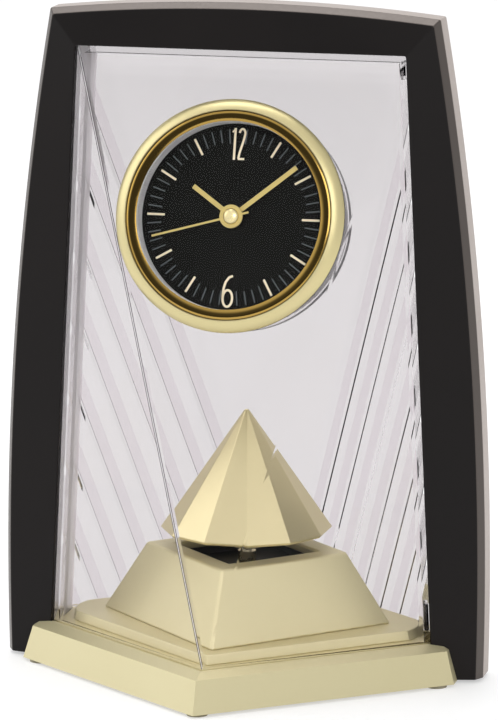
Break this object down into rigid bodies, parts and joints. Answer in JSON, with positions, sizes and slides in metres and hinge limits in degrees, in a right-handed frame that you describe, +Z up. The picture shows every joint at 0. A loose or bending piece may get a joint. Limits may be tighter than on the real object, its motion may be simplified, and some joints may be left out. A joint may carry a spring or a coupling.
{
  "type": "mantel clock",
  "caption": "Free-standing mantel clock with a tapered black arch frame, clear faceted covers, a round gilt dial unit and a faceted cone pendulum that turns on a gilt pyramid plinth",
  "frame": {"origin": "middle of the footprint, on the table", "axes": "+X to the right seen from the front, +Y to the back, +Z up"},
  "size_m": [0.1664, 0.1486, 0.2269],
  "materials": {
    "black_lacquer": "black lacquer, satin",
    "clear_plastic": "clear, polished",
    "glass": "clear",
    "champagne_gold": "satin champagne gold",
    "polished_gold": "polished gilt",
    "silver": "fine knurl",
    "dial_black": "matt black",
    "black_plastic": "matt black",
    "rubber": "matt",
    "steel": "bright",
    "brass": "turned",
    "gear_plastic": "white acetal",
    "copper": "enamelled copper winding",
    "board_green": "solder mask",
    "cell_jacket": "plain jacket"
  },
  "bodies": {
    "clock": {"frame": "black_lacquer", "front_cover": "clear_plastic", "crystal": "glass", "base_shell": "champagne_gold", "plinth_plate": "champagne_gold", "frustum": "champagne_gold", "bezel": "polished_gold", "crystal_ring": "polished_gold", "hour_markers": "polished_gold", "silver_ring": "silver", "dial_plate": "dial_black", "base_plate": "black_plastic", "battery_holder": "black_plastic", "bearing_tray": "black_plastic", "drive_plate": "black_plastic", "movement_front": "black_plastic", "movement_back": "black_plastic", "train_plate": "black_plastic", "feet": "rubber", "leg_screws": "steel", "base_screws": "steel", "hinge_pins": "steel", "pendulum_contacts": "steel", "clock_contacts": "steel", "drive_stator": "steel", "time_stator": "steel", "quartz_can": "steel", "spindle_bush": "brass", "drive_coil": "copper", "time_coil": "copper", "drive_board": "board_green", "circuit_board": "board_green", "pendulum_battery": "cell_jacket", "clock_battery": "cell_jacket"},
    "back_door": {"rear_cover": "clear_plastic"},
    "hatch": {"battery_door": "black_plastic"},
    "switch_slide": {"pendulum_switch": "black_plastic"},
    "pendulum": {"pendulum_cone": "champagne_gold", "pendulum_dish": "champagne_gold", "pendulum_spindle": "steel", "spindle_gear": "gear_plastic"},
    "reduction_wheel": {"drive_wheel": "gear_plastic"},
    "pendulum_rotor": {"drive_rotor": "gear_plastic"},
    "second_group": {"second_hand": "polished_gold", "hand_cap": "polished_gold", "second_wheel": "gear_plastic"},
    "minute_group": {"minute_hand": "polished_gold", "centre_wheel": "gear_plastic"},
    "hour_group": {"hour_hand": "polished_gold", "hour_wheel": "gear_plastic"},
    "intermediate_group": {"intermediate_wheel": "gear_plastic"},
    "rotor_group": {"time_rotor": "gear_plastic"},
    "third_group": {"third_wheel": "gear_plastic"},
    "motion_group": {"minute_wheel": "gear_plastic"},
    "setting_group": {"setting_arbor": "gear_plastic", "setting_knob": "black_plastic"}
  },
  "joints": [
    {"name": "door_hinge", "type": "hinge", "parent": "clock", "child": "back_door", "pos_m": [0.06368, 0.0102, 0.0137], "axis": [0.0489, 0, -0.9988], "range_deg": [0, 100]},
    {"name": "hatch_slide", "type": "slide", "parent": "clock", "child": "hatch", "axis": [1, 0, 0], "range_m": [0, 0.005]},
    {"name": "switch_travel", "type": "slide", "parent": "clock", "child": "switch_slide", "axis": [1, 0, 0], "range_m": [0, 0.003]},
    {"name": "pendulum_turn", "type": "hinge", "parent": "clock", "child": "pendulum", "pos_m": [0, 0, 0.0395], "axis": [0, 0, 1], "continuous": true},
    {"name": "reduction_turn", "type": "hinge", "parent": "clock", "child": "reduction_wheel", "pos_m": [-0.00884, 0.00884, 0.027], "axis": [0, 0, 1], "continuous": true},
    {"name": "pendulum_rotor_turn", "type": "hinge", "parent": "clock", "child": "pendulum_rotor", "pos_m": [-0.02115, 0.00667, 0.027], "axis": [0, 0, 1], "continuous": true},
    {"name": "second_turn", "type": "hinge", "parent": "clock", "child": "second_group", "pos_m": [0, -0.02311, 0.1582], "axis": [0, 0.9664, -0.2569], "continuous": true},
    {"name": "minute_turn", "type": "hinge", "parent": "clock", "child": "minute_group", "pos_m": [0, -0.02311, 0.1582], "axis": [0, 0.9664, -0.2569], "continuous": true},
    {"name": "hour_turn", "type": "hinge", "parent": "clock", "child": "hour_group", "pos_m": [0, -0.02311, 0.1582], "axis": [0, 0.9664, -0.2569], "continuous": true},
    {"name": "intermediate_turn", "type": "hinge", "parent": "clock", "child": "intermediate_group", "pos_m": [0.00812, -0.02235, 0.16106], "axis": [0, 0.9664, -0.2569], "continuous": true},
    {"name": "rotor_turn", "type": "hinge", "parent": "clock", "child": "rotor_group", "pos_m": [0.01232, -0.02049, 0.16809], "axis": [0, 0.9664, -0.2569], "continuous": true},
    {"name": "third_turn", "type": "hinge", "parent": "clock", "child": "third_group", "pos_m": [-0.0102, -0.02311, 0.1582], "axis": [0, 0.9664, -0.2569], "continuous": true},
    {"name": "motion_turn", "type": "hinge", "parent": "clock", "child": "motion_group", "pos_m": [0.00979, -0.02429, 0.15379], "axis": [0, 0.9664, -0.2569], "continuous": true},
    {"name": "setting_turn", "type": "hinge", "parent": "clock", "child": "setting_group", "pos_m": [0.02055, -0.02453, 0.15288], "axis": [0, 0.9664, -0.2569], "continuous": true}
  ],
  "couplings": [
    {"joint": "reduction_turn", "follows": "pendulum_turn", "ratio": -4},
    {"joint": "pendulum_rotor_turn", "follows": "pendulum_turn", "ratio": 16},
    {"joint": "minute_turn", "follows": "second_turn", "ratio": 0.016667},
    {"joint": "hour_turn", "follows": "second_turn", "ratio": 0.0013889},
    {"joint": "intermediate_turn", "follows": "second_turn", "ratio": -5},
    {"joint": "rotor_turn", "follows": "second_turn", "ratio": 30},
    {"joint": "third_turn", "follows": "second_turn", "ratio": -0.13333},
    {"joint": "motion_turn", "follows": "second_turn", "ratio": -0.0055556},
    {"joint": "setting_turn", "follows": "second_turn", "ratio": 0.016667}
  ]
}
